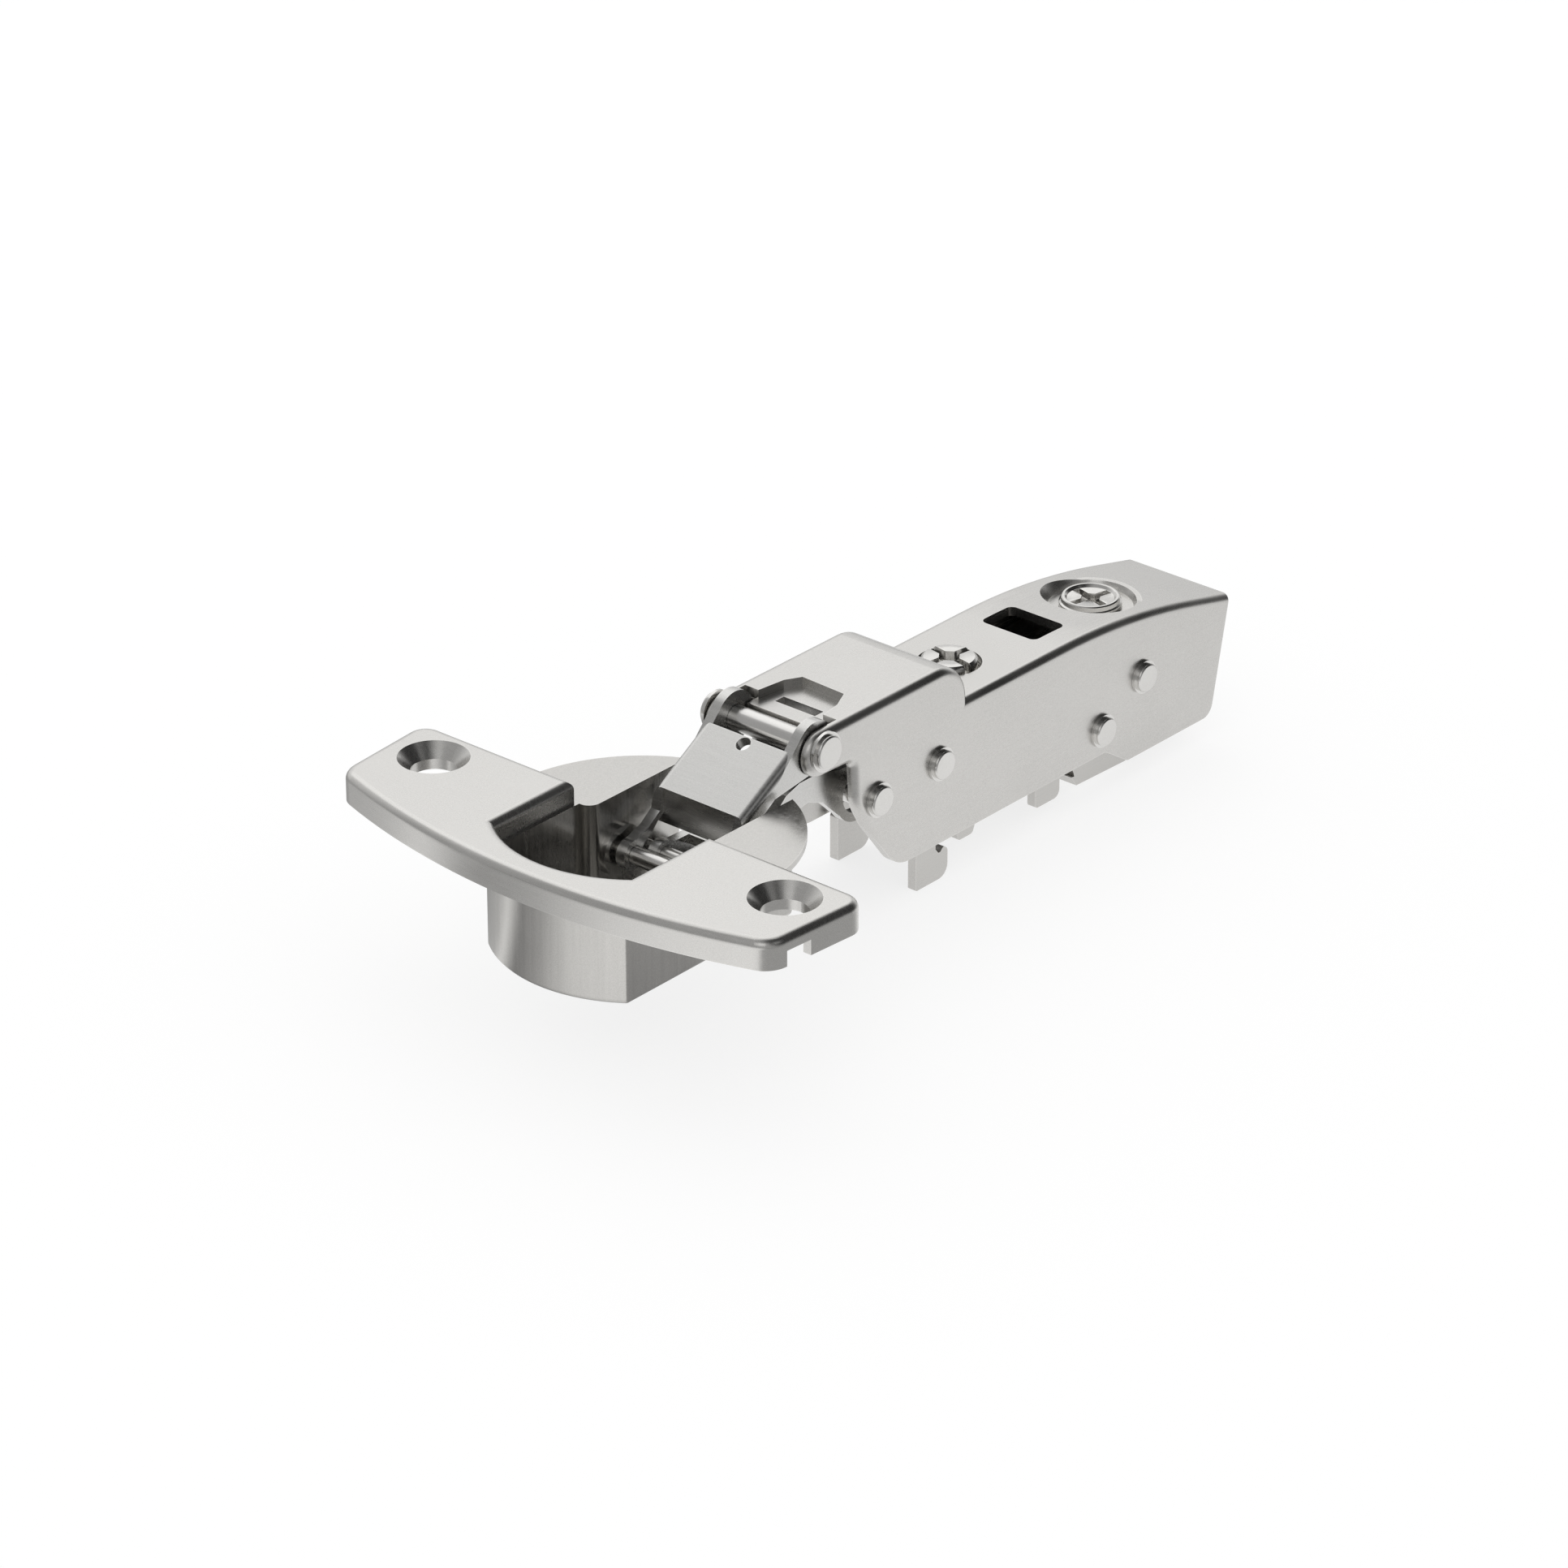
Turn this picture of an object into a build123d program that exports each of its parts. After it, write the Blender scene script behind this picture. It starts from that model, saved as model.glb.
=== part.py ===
import os

from build123d import *

# Concealed cabinet hinge, drawn with the door open at a right angle to the cabinet side.
# Origin: centre of the door cup on the door face. +X runs along the arm to its rear end,
# +Z points away from the door, and the hinge is symmetric about Y = 0.
# Side profiles are drawn in the XZ plane, so a pivot is given as (x, z).

os.makedirs("parts", exist_ok=True)

# Clearances
run_fit = 0.05
seat_fit = 0.02
side_gap = 0.2
slide_gap = 0.3
pin_end_gap = 0.1
tolerance = 0.01

# Sheet thicknesses
arm_sheet = 1.15
link_sheet = 1.3
lever_sheet = 1.2
rail_sheet = 1.2
catch_sheet = 1.0
plate_sheet = 1.1
cup_wall = 0.9
spring_sheet = 0.9

# Pivots of the four-bar linkage and the other cross pins, as (x, z)
outer_arm_pivot = (22.25, 4.8)
inner_arm_pivot = (31.6, -4.9)
front_cup_pivot = (5.1, -6.03)
rear_cup_pivot = (8.33, -6.7)
spring_pivot = (42.6, -4.55)
guide_upper_pivot = (80.1, -7.45)
guide_lower_pivot = (72.5, -11.7)
catch_pivot = (88.4, -9.2)

# Pin radii
front_pin_radius = 1.1
rear_pin_radius = 1.0
outer_pin_radius = 1.5
inner_pin_radius = 1.6
rivet_radius = 1.4
catch_pin_radius = 1.1
open_pivot_play = 0.95

# Half widths across Y
arm_half = 7.95
arm_inner_half = arm_half - arm_sheet
link_half = arm_inner_half - side_gap
link_inner_half = link_half - link_sheet
lever_half = 4.9
lever_inner_half = lever_half - lever_sheet
rail_half = arm_inner_half - slide_gap
rail_inner_half = rail_half - rail_sheet
catch_half = rail_inner_half - slide_gap
catch_inner_half = catch_half - catch_sheet
spring_half = 4.6
catch_spring_half = 2.4

# Door cup
cup_radius = 17.3
cup_depth = 11.8
cup_flat_half = 10.46
cup_floor = 0.9
cup_rim_radius = 18.6
cup_rim_height = 0.8
cup_wide_half = cup_flat_half - cup_wall
cup_narrow_half = 7.86
cup_step_x = 0.6
cup_sill = 1.0
cup_column_radius = 1.5
cup_side_edge_radius = 0.5
cup_bottom_radius = 0.7
boss_radius = 3.1
boss_inner_half = 7.1
boss_root = 0.5

# Flange plate over the cup
plate_height = 3.6
plate_front_x = -20.0
plate_corner_x = -14.5
plate_corner_y = 31.9
plate_rear_x = 0.26
plate_end_y = 33.05
plate_front_corner_radius = 3.2
plate_rear_corner_radius = 2.4
plate_edge_radius = 1.05
pocket_half = 10.0
pocket_radius = 16.2
screw_spacing = 52.0
screw_x = -5.5
screw_hole_radius = 2.7
screw_sink_radius = 4.16
screw_land_z = 0.7
screw_sink_z = 1.95
notch_start_x = -12.2
notch_length = 3.6
notch_depth = 2.0
notch_height = 1.9

# Outer link, as (x, z) points of its side plates and of the web between them
outer_ear_radius = 3.2
front_eye_radius = 1.85
sweep_gap = 0.3
rear_pin_sweep = (-126, 9)
front_pin_sweep = (54, 188)
outer_side = [
    (19.9, 7.0), (18.4, 5.4), (10.0, 0.5), (9.3, -2.1), (7.5, -3.4), (4.0, -4.6),
    (5.1, -6.03), (6.75, -5.5), (9.0, -3.2), (15.3, 0.95), (21.0, 1.65), (24.0, 3.0),
    (22.25, 4.8),
]
outer_web = [(18.4, 5.4), (10.0, 0.5), (10.2, -1.2), (11.6, -1.1), (11.45, -0.15), (19.1, 4.2)]
outer_tongue = [(10.0, 0.5), (9.95, -3.8), (11.25, -3.8), (11.45, -0.15)]
outer_bend_radius = 1.0
web_hole = (17.3, 5.3)
web_hole_radius = 0.9
web_hole_tilt = -30

# Inner link, as (x, z) points of its side plates and of the web along their upper edge
rear_eye_radius = 1.75
inner_eye_radius = 3.65
inner_side = [
    (8.3, -5.05), (9.5, -5.6), (13.2, -5.7), (15.4, -4.7), (17.3, -2.3), (19.2, -0.7),
    (21.5, 0.0), (25.0, 0.0), (28.5, -1.0), (31.5, -1.25), (31.0, -8.4), (28.3, -6.7),
    (25.5, -4.0), (23.0, -3.0), (20.8, -3.3), (19.0, -4.7), (17.0, -6.4), (15.0, -8.0),
    (12.8, -8.5), (8.4, -8.5),
]
inner_web = [
    (12.4, -5.7), (13.2, -5.7), (15.4, -4.7), (17.3, -2.3), (19.2, -0.7), (21.5, 0.0),
    (25.0, 0.0), (28.0, -0.85), (27.7, -2.0), (24.8, -1.15), (21.8, -1.15), (18.6, -1.8),
    (16.5, -3.4), (14.9, -5.6), (13.0, -6.85), (12.3, -6.85),
]

# Arm, as (x, z) points with corner radii
ear_centre = (22.3, 4.25)
ear_radius = 2.8
ear_foot_z = 1.45
front_open_x = 25.7
block_top = 7.05
block_end_x = 47.7
block_step_radius = 5.0
deck_top = 1.75
deck_start_x = 43.0
deck_bend_x = 77.7
deck_bend_radius = 107.0
tail_top = (96.7, -2.8)
arm_bottom = -14.9
arm_edge_radius = 1.0
block_front = [(35.0, arm_bottom, 4.5), (29.6, -7.8), (27.8, -4.6, 5.0), (27.4, 1.3, 1.0)]
tail_lower = [(93.55, -17.65, 1.8), (77.5, -17.6, 1.2), (73.3, arm_bottom, 1.2)]
window_x = 67.3
window_length = 5.8
window_width = 8.2
window_corner_radius = 0.9
far = 60.0

# Stamped recess with a cross slot in the front block
recess_front_x = 24.1
recess_depth = 1.1
recess_points = [
    (20.0, -4.9), (24.9, -4.9), (28.6, -4.4), (31.2, -3.2), (31.5, 3.2), (29.5, 4.3),
    (25.0, 4.9), (20.0, 4.9),
]
slot_x = 27.2
slot_length = 1.5
slot_width = 5.9

# Overlay screw
overlay_x = 53.8
overlay_radius = 3.8
overlay_top = 2.0
overlay_bottom = -1.6
overlay_chamfer = 0.3
overlay_neck_radius = 1.9
overlay_foot_radius = 3.0
overlay_foot_height = 1.2
collar_wall = 0.9
collar_bottom = -1.0
drive_length = 6.0
drive_width = 1.3
drive_depth = 1.5

# Depth cam in a dished seat
cam_x = 80.0
cam_radius = 3.75
cam_seat_radius = 6.1
cam_seat_height = 1.9
cam_dish_radius = 5.1
cam_dish_top_radius = 6.6
cam_dish_height = 3.0
cam_dish_z = -0.6
cam_top = 0.4
cam_rim = 0.55
cam_chamfer = 0.2
cam_neck_radius = 2.6
cam_washer_radius = 3.4
cam_washer_height = 0.6
cam_throw = 2.1
cam_stud_radius = 1.4
cam_drive_length = 5.0

# Mounting rail inside the arm, as (x, z) points with corner radii
rail_top = -2.7
rail_front_x = 48.6
rail_web_end_x = 84.5
rail_bottom = -14.2
depth_travel = 1.5
rail_side = [
    (rail_front_x, rail_top), (rail_web_end_x, rail_top), (91.4, -5.6, 1.0),
    (91.4, -11.4, 1.5), (86.6, rail_bottom, 1.5), (66.5, rail_bottom), (66.5, -18.5, 1.0),
    (62.0, -18.5, 0.5), (62.0, rail_bottom), (51.6, rail_bottom), (50.4, -17.1, 0.6),
    (47.9, -17.1, 0.4), (46.9, rail_bottom), (43.7, rail_bottom), (43.7, -16.6),
    (44.4, -17.5, 0.4), (45.1, -16.7, 0.4), (45.9, -17.2, 0.7), (45.9, -20.7, 1.6),
    (40.2, -20.7, 0.2), (40.2, -15.1, 0.4), (41.6, -12.8), (41.6, -9.6, 1.0),
    (rail_front_x, -9.6, 1.0),
]

# Catch lever at the rear of the rail, as (x, z) points
catch_side = [
    (90.4, -7.6), (91.2, -10.8), (95.0, -12.0), (95.2, -13.8), (90.6, -14.8), (84.4, -17.6),
    (80.9, -19.9), (71.6, -19.6), (70.6, -16.4), (76.5, -15.0), (82.3, -13.6), (86.0, -10.8),
]
catch_tray = [(70.6, -18.2), (71.6, -19.6), (80.9, -19.9), (80.5, -18.6), (72.3, -18.4)]
catch_pad = [(94.0, -11.7), (95.0, -12.0), (95.2, -13.8), (94.2, -14.0)]
catch_boss_radius = 2.6

# Heads of the cross rivets: a head on a wider, lower collar
head_height = 0.95
head_edge_radius = 0.25
collar_height = 0.4
outer_head_radius = 2.05
outer_collar_radius = 2.4
inner_head_radius = 1.8
inner_collar_radius = 2.1
rivet_head_radius = 1.75
rivet_collar_radius = 2.05
pin_chamfer = 0.2

# Strip springs, as (x, z) points of their legs
closing_front = [(33.5, 4.7), (40.5, 4.9)]
closing_bend_z = 1.5
closing_foot = (36.3, -7.4)
catch_front_x = 78.6
catch_knee_x = 87.4
catch_bend_z = -6.0
catch_foot = (84.6, -12.6)


def side_face(points=(), circles=()):
    # Union of a polygon and circles (x, z, radius) in the XZ plane. A polygon point may carry
    # a third value, the radius of its corner.
    with BuildSketch(Plane.XZ) as face:
        if points:
            with BuildLine():
                Polyline(*[point[:2] for point in points], close=True)
            make_face()
            for x, z, radius in [point for point in points if len(point) == 3]:
                fillet(face.vertices().sort_by_distance((x, z, 0))[0], radius)
        for x, z, radius in circles:
            with Locations((x, z)):
                Circle(radius)
    return face.sketch


def across(face, half, mode=Mode.ADD):
    # Side face extruded to both sides of the middle plane.
    extrude(face, amount=half, both=True, mode=mode)


def side_plates(face, outer, inner, mode=Mode.ADD):
    # Two equal plates between the inner and the outer half width.
    for start in (inner, -outer):
        extrude(Pos(0, -start, 0) * face, amount=outer - inner, mode=mode)


def bore(pivot, radius, half):
    across(side_face(circles=[(*pivot, radius)]), half, Mode.SUBTRACT)


def cross_pin(pivot, radius, half):
    with BuildPart() as pin:
        across(side_face(circles=[(*pivot, radius)]), half)
        chamfer(pin.edges(), pin_chamfer)
    return pin


def headed_rivet(pivot, radius, head_radius, collar_radius):
    # Shaft through both arm walls, with a stepped head outside each wall.
    with BuildPart() as rivet:
        across(side_face(circles=[(*pivot, head_radius)]), arm_half + head_height)
        fillet(rivet.faces().filter_by(Axis.Y).edges(), head_edge_radius)
        across(side_face(circles=[(*pivot, collar_radius)]), arm_half + collar_height)
        with BuildSketch(Plane.XZ) as around:
            with Locations(pivot):
                Circle(collar_radius + arm_sheet)
                Circle(radius, mode=Mode.SUBTRACT)
        across(around.sketch, arm_half + seat_fit, Mode.SUBTRACT)
    return rivet


def save(builder, name):
    builder.part.label = name
    export_step(builder.part, f"parts/{name}.step")


# Door cup: a deep-drawn pot with side flats, a thin rim and a rear mouth for the links
with BuildPart() as cup_pot:
    with BuildSketch(Plane.XY):
        Circle(cup_radius)
        Rectangle(4 * cup_radius, 2 * cup_flat_half, mode=Mode.INTERSECT)
    extrude(amount=-cup_depth)
    fillet(cup_pot.edges().filter_by(Axis.Z), cup_side_edge_radius)
    fillet(cup_pot.faces().sort_by(Axis.Z)[0].edges(), cup_bottom_radius)
    with BuildSketch(Plane.XY):
        Circle(cup_rim_radius)
    extrude(amount=cup_rim_height)
    with BuildSketch(Plane.XY.offset(cup_rim_height)) as hollow:
        Rectangle(4 * cup_radius, 2 * cup_narrow_half)
        with Locations((cup_step_x - cup_radius, 0)):
            Rectangle(2 * cup_radius, 2 * cup_wide_half)
        columns = [
            corner
            for corner in hollow.vertices()
            if abs(corner.X - cup_step_x) < tolerance
            and abs(corner.Y) < cup_narrow_half + tolerance
        ]
        fillet(columns, cup_column_radius)
        Circle(cup_radius - cup_wall, mode=Mode.INTERSECT)
    extrude(amount=cup_floor - cup_depth - cup_rim_height, mode=Mode.SUBTRACT)
    with BuildSketch(Plane.XY.offset(cup_rim_height)):
        with Locations((cup_rim_radius, 0)):
            Rectangle(cup_rim_radius, 2 * cup_narrow_half)
    extrude(amount=cup_floor + cup_sill - cup_depth - cup_rim_height, mode=Mode.SUBTRACT)
    boss = side_face(circles=[(*front_cup_pivot, boss_radius)])
    side_plates(boss, cup_narrow_half + boss_root, boss_inner_half)
    bore(front_cup_pivot, front_pin_radius + seat_fit, cup_wide_half)
    bore(rear_cup_pivot, rear_pin_radius + seat_fit, cup_wide_half)
save(cup_pot, "cup_pot")


def plate_outline():
    with BuildSketch() as outline:
        with BuildLine():
            ThreePointArc(
                (plate_corner_x, -plate_corner_y),
                (plate_front_x, 0),
                (plate_corner_x, plate_corner_y),
            )
            Polyline(
                (plate_corner_x, plate_corner_y),
                (plate_rear_x, plate_end_y),
                (plate_rear_x, -plate_end_y),
                (plate_corner_x, -plate_corner_y),
            )
        make_face()
        fillet(outline.vertices().group_by(Axis.X)[-1], plate_rear_corner_radius)
        fillet(outline.vertices().group_by(Axis.X)[0], plate_front_corner_radius)
    return outline.sketch


screw_places = [(screw_x, screw_spacing / 2), (screw_x, -screw_spacing / 2)]

# Flange plate: one sheet with its edges turned down to the door, open over the cup
with BuildPart() as cup_plate:
    extrude(plate_outline(), amount=plate_height)
    with BuildSketch(Plane.XY):
        Circle(pocket_radius)
        Rectangle(4 * pocket_radius, 2 * pocket_half, mode=Mode.INTERSECT)
    extrude(amount=plate_height, mode=Mode.SUBTRACT)
    fillet(cup_plate.faces().sort_by(Axis.Z)[-1].edges(), plate_edge_radius)
    with BuildSketch(Plane.XY):
        add(plate_outline())
        offset(amount=-plate_sheet)
        Rectangle(8 * pocket_radius, 2 * (pocket_half + plate_sheet), mode=Mode.SUBTRACT)
    extrude(amount=plate_height - plate_sheet, mode=Mode.SUBTRACT)
    with BuildSketch(Plane.XY.offset(screw_land_z)):
        with Locations(*screw_places):
            Circle(screw_hole_radius + plate_sheet)
    extrude(amount=plate_height - plate_sheet - screw_land_z)
    with BuildSketch(Plane.XY):
        Circle(cup_rim_radius + seat_fit)
    extrude(amount=cup_rim_height, mode=Mode.SUBTRACT)
    with Locations(*[(x, y, plate_height) for x, y in screw_places]):
        Cone(
            screw_hole_radius,
            screw_sink_radius,
            plate_height - screw_sink_z,
            align=(Align.CENTER, Align.CENTER, Align.MAX),
            mode=Mode.SUBTRACT,
        )
        Cylinder(screw_hole_radius, 3 * plate_height, mode=Mode.SUBTRACT)
    with BuildSketch(Plane.XY):
        with Locations(
            (notch_start_x + notch_length / 2, plate_end_y),
            (notch_start_x + notch_length / 2, -plate_end_y),
        ):
            Rectangle(notch_length, 2 * notch_depth)
    extrude(amount=notch_height, mode=Mode.SUBTRACT)
save(cup_plate, "cup_plate")

cup_pin_half = cup_wide_half - pin_end_gap
save(cross_pin(front_cup_pivot, front_pin_radius, cup_pin_half), "front_cup_pin")
save(cross_pin(rear_cup_pivot, rear_pin_radius, cup_pin_half), "rear_cup_pin")


def swept_slot(centre, other, pin_radius, first_angle, last_angle):
    # Path of the second cup pin round the first one, as a ring sector in the XZ plane.
    reach = ((other[0] - centre[0]) ** 2 + (other[1] - centre[1]) ** 2) ** 0.5
    half = pin_radius + sweep_gap
    with BuildSketch(Plane.XZ) as slot:
        with BuildLine():
            CenterArc(centre, reach, first_angle, last_angle - first_angle)
        trace(line_width=2 * half)
        for angle in (first_angle, last_angle):
            with Locations(Location((*centre, 0), (0, 0, angle))):
                with Locations((reach, 0)):
                    Circle(half)
    return slot.sketch


def is_outer_bend(edge):
    # Long edges of the outer link between its web and its side plates.
    middle = edge.center()
    (top_x, top_z), (low_x, low_z) = outer_web[:2]
    web_z = low_z + (top_z - low_z) * (middle.X - low_x) / (top_x - low_x)
    on_side = abs(abs(middle.Y) - link_half) < tolerance
    return on_side and low_x + link_sheet < middle.X < top_x and abs(middle.Z - web_z) < tolerance


# Outer link: side plates from the arm to the front cup pin, joined by a bent web
with BuildPart() as outer_link:
    circles = [(*outer_arm_pivot, outer_ear_radius), (*front_cup_pivot, front_eye_radius)]
    side_plates(side_face(outer_side, circles), link_half, link_inner_half)
    across(side_face(outer_web), link_half)
    across(side_face(outer_tongue), link_half)
    bends = [edge for edge in outer_link.edges() if is_outer_bend(edge)]
    fillet(bends, outer_bend_radius)
    slot = swept_slot(front_cup_pivot, rear_cup_pivot, rear_pin_radius, *rear_pin_sweep)
    across(slot, link_half, Mode.SUBTRACT)
    bore(front_cup_pivot, front_pin_radius + run_fit, link_half)
    bore(outer_arm_pivot, outer_pin_radius + run_fit, link_half)
    with Locations(Location((web_hole[0], 0, web_hole[1]), (0, web_hole_tilt, 0))):
        Cylinder(web_hole_radius, 4 * link_sheet, mode=Mode.SUBTRACT)
save(outer_link, "outer_link")

# Inner link: narrower channel between the rear cup pin and the rear arm pin
with BuildPart() as inner_link:
    circles = [(*inner_arm_pivot, inner_eye_radius), (*rear_cup_pivot, rear_eye_radius)]
    side_plates(side_face(inner_side, circles), lever_half, lever_inner_half)
    across(side_face(inner_web), lever_half)
    slot = swept_slot(rear_cup_pivot, front_cup_pivot, front_pin_radius, *front_pin_sweep)
    across(slot, lever_half, Mode.SUBTRACT)
    bore(rear_cup_pivot, rear_pin_radius + run_fit, lever_half)
    bore(inner_arm_pivot, inner_pin_radius + open_pivot_play, lever_half)
save(inner_link, "inner_link")


def deck_points(drop):
    rise = (deck_top - tail_top[1]) / (tail_top[0] - deck_bend_x)
    return [
        (deck_start_x, deck_top - drop),
        (deck_bend_x, deck_top - drop, deck_bend_radius - drop),
        (tail_top[0] + drop * far, tail_top[1] - drop - rise * drop * far),
    ]


def top_side_edges(builder, lowest):
    # Long upper edges of an arm section, to be rounded.
    return [
        edge
        for edge in builder.edges()
        if abs(abs(edge.center().Y) - arm_half) < tolerance and edge.center().Z > lowest
    ]


# Front section of the arm: raised block whose top steps down to the deck
with BuildPart() as arm_front:
    block_points = [
        (ear_centre[0], block_top), (block_end_x, block_top, block_step_radius),
        (block_end_x, arm_bottom), *block_front, (ear_centre[0], ear_foot_z),
    ]
    across(side_face(block_points, [(*ear_centre, ear_radius)]), arm_half)
    fillet(top_side_edges(arm_front, block_top - block_step_radius), arm_edge_radius)

# Rear section of the arm: deck that curves down to the tail
with BuildPart() as arm_rear:
    across(side_face([*deck_points(0), *tail_lower, (deck_start_x, arm_bottom)]), arm_half)
    fillet(top_side_edges(arm_rear, tail_top[1]), arm_edge_radius)

# Arm: one folded sheet, open below and at both ends
with BuildPart() as arm:
    add(arm_front.part)
    add(arm_rear.part)
    inner_top = block_top - arm_sheet
    inner_end_x = block_end_x - arm_sheet
    hollow_front = [
        (0, far), (front_open_x, far), (front_open_x, inner_top),
        (inner_end_x, inner_top, block_step_radius - arm_sheet), (inner_end_x, -far), (0, -far),
    ]
    across(side_face(hollow_front), arm_inner_half, Mode.SUBTRACT)
    tail_end = deck_points(arm_sheet)[-1][0]
    hollow_rear = [*deck_points(arm_sheet), (tail_end, -far), (deck_start_x, -far)]
    across(side_face(hollow_rear), arm_inner_half, Mode.SUBTRACT)
    # stamped recess in the front block, with a lip towards the outer link pin
    with BuildSketch(Plane.XY.offset(block_top - recess_depth)):
        with BuildLine():
            Polyline(*recess_points, close=True)
        make_face()
        offset(amount=arm_sheet / 2)
        with Locations((recess_front_x + far / 2, 0)):
            Rectangle(far, 2 * (link_inner_half - side_gap), mode=Mode.INTERSECT)
    extrude(amount=-arm_sheet)
    with BuildSketch(Plane.XY.offset(block_top - recess_depth)):
        with BuildLine():
            Polyline(*recess_points, close=True)
        make_face()
    extrude(amount=far, mode=Mode.SUBTRACT)
    with BuildSketch(Plane.XY.offset(block_top)):
        with Locations((slot_x, 0)):
            Rectangle(slot_length, slot_width)
    extrude(amount=-2 * arm_sheet - recess_depth, mode=Mode.SUBTRACT)
    # threaded collar of the overlay screw
    with BuildSketch(Plane.XY.offset(collar_bottom)):
        with Locations((overlay_x, 0)):
            Circle(overlay_radius + collar_wall)
    extrude(amount=deck_top - arm_sheet / 2 - collar_bottom)
    with BuildSketch(Plane.XY.offset(collar_bottom)):
        with Locations((overlay_x, 0)):
            Circle(overlay_radius + run_fit)
    extrude(amount=far, mode=Mode.SUBTRACT)
    # window and dished seat of the depth cam
    with BuildSketch(Plane.XY.offset(deck_top)):
        with Locations((window_x, 0)):
            RectangleRounded(window_length, window_width, window_corner_radius)
    extrude(amount=-4 * arm_sheet, mode=Mode.SUBTRACT)
    with Locations((cam_x, 0, cam_dish_z - arm_sheet)):
        Cylinder(
            cam_seat_radius,
            cam_seat_height,
            align=(Align.CENTER, Align.CENTER, Align.MIN),
        )
    with Locations((cam_x, 0, cam_dish_z)):
        Cone(
            cam_dish_radius,
            cam_dish_top_radius,
            cam_dish_height,
            align=(Align.CENTER, Align.CENTER, Align.MIN),
            mode=Mode.SUBTRACT,
        )
        Cylinder(cam_neck_radius + run_fit, 4 * arm_sheet, mode=Mode.SUBTRACT)
    bore(outer_arm_pivot, outer_pin_radius + seat_fit, arm_half)
    bore(inner_arm_pivot, inner_pin_radius + seat_fit, arm_half)
    for pivot in (spring_pivot, guide_upper_pivot, guide_lower_pivot):
        bore(pivot, rivet_radius + seat_fit, arm_half)
save(arm, "arm")

outer_link_pin = headed_rivet(
    outer_arm_pivot, outer_pin_radius, outer_head_radius, outer_collar_radius
)
save(outer_link_pin, "outer_link_pin")
inner_link_pin = headed_rivet(
    inner_arm_pivot, inner_pin_radius, inner_head_radius, inner_collar_radius
)
save(inner_link_pin, "inner_link_pin")
rivets = {
    "spring_pin": spring_pivot,
    "guide_upper_rivet": guide_upper_pivot,
    "guide_lower_rivet": guide_lower_pivot,
}
for name, pivot in rivets.items():
    save(headed_rivet(pivot, rivet_radius, rivet_head_radius, rivet_collar_radius), name)


def drive_cross(x, top, length):
    # Cross slot for a screwdriver.
    with BuildSketch(Plane.XY.offset(top)) as cross:
        with Locations((x, 0)):
            Rectangle(length, drive_width)
            Rectangle(drive_width, length)
    extrude(cross.sketch, amount=-drive_depth, mode=Mode.SUBTRACT)


# Overlay screw: threaded body in the arm, neck and foot held by the rail
with BuildPart() as overlay_screw:
    foot_top = rail_top - rail_sheet - slide_gap
    with Locations((overlay_x, 0, overlay_top)):
        Cylinder(
            overlay_radius,
            overlay_top - overlay_bottom,
            align=(Align.CENTER, Align.CENTER, Align.MAX),
        )
    chamfer(overlay_screw.edges(), overlay_chamfer)
    with Locations((overlay_x, 0, overlay_bottom)):
        Cylinder(
            overlay_neck_radius,
            overlay_bottom - foot_top,
            align=(Align.CENTER, Align.CENTER, Align.MAX),
        )
    with Locations((overlay_x, 0, foot_top)):
        Cylinder(
            overlay_foot_radius,
            overlay_foot_height,
            align=(Align.CENTER, Align.CENTER, Align.MAX),
        )
    drive_cross(overlay_x, overlay_top, drive_length)
save(overlay_screw, "overlay_screw")

# Depth cam: rimmed head on the dished seat and an off-centre stud in the rail
washer_top = cam_dish_z - arm_sheet - side_gap / 2
washer_bottom = washer_top - cam_washer_height
with BuildPart() as depth_cam:
    with Locations((cam_x, 0, cam_dish_z + side_gap / 2)):
        Cylinder(
            cam_radius,
            cam_top - cam_dish_z - side_gap / 2,
            align=(Align.CENTER, Align.CENTER, Align.MIN),
        )
    chamfer(depth_cam.edges(), cam_chamfer)
    with Locations((cam_x, 0, cam_top)):
        Cylinder(
            cam_radius - cam_rim,
            cam_rim / 2,
            align=(Align.CENTER, Align.CENTER, Align.MAX),
            mode=Mode.SUBTRACT,
        )
    with Locations((cam_x, 0, washer_bottom)):
        Cylinder(
            cam_neck_radius,
            cam_dish_z + side_gap - washer_bottom,
            align=(Align.CENTER, Align.CENTER, Align.MIN),
        )
    with Locations((cam_x, -cam_throw, washer_bottom)):
        Cylinder(
            cam_stud_radius,
            washer_bottom - rail_top + rail_sheet,
            align=(Align.CENTER, Align.CENTER, Align.MAX),
        )
    drive_cross(cam_x, cam_top, cam_drive_length)
save(depth_cam, "depth_cam")

# Washer pressed on the neck of the cam, below the arm
with BuildPart() as cam_washer:
    with BuildSketch(Plane.XY.offset(washer_bottom)):
        with Locations((cam_x, 0)):
            Circle(cam_washer_radius)
            Circle(cam_neck_radius + seat_fit, mode=Mode.SUBTRACT)
    extrude(amount=cam_washer_height)
save(cam_washer, "cam_washer")

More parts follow.
